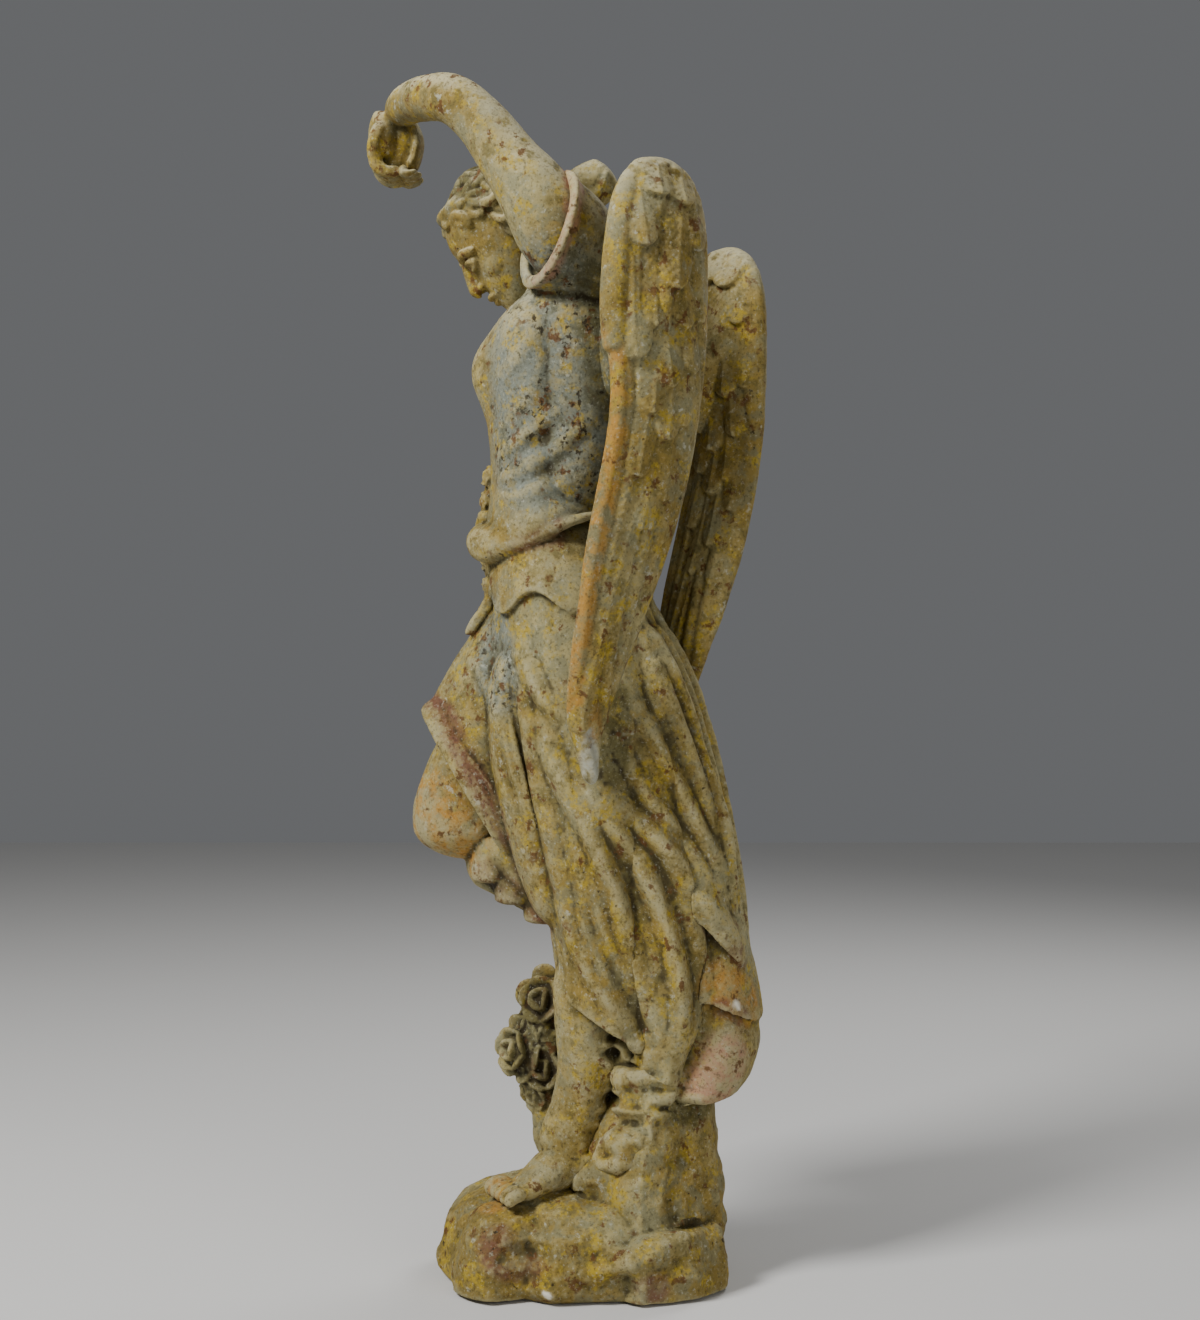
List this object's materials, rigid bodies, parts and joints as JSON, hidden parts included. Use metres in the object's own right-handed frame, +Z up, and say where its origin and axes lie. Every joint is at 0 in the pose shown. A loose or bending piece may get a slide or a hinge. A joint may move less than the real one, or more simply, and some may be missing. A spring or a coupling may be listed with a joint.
{
  "type": "angel statue",
  "caption": "Weathered cast stone garden angel in a robe, one arm raised over its head, wings folded, standing on its own rock base.",
  "frame": {"origin": "middle of the rock base's flat underside", "axes": "+Z up, the figure faces -Y and its left side is +X"},
  "size_m": [0.5572, 0.6281, 1.815],
  "materials": {
    "weathered_stone": "weathered cast stone, cream grey under yellow-green lichen and rust-coloured specks"
  },
  "bodies": {
    "root": {"angel_statue": "weathered_stone"}
  },
  "joints": []
}
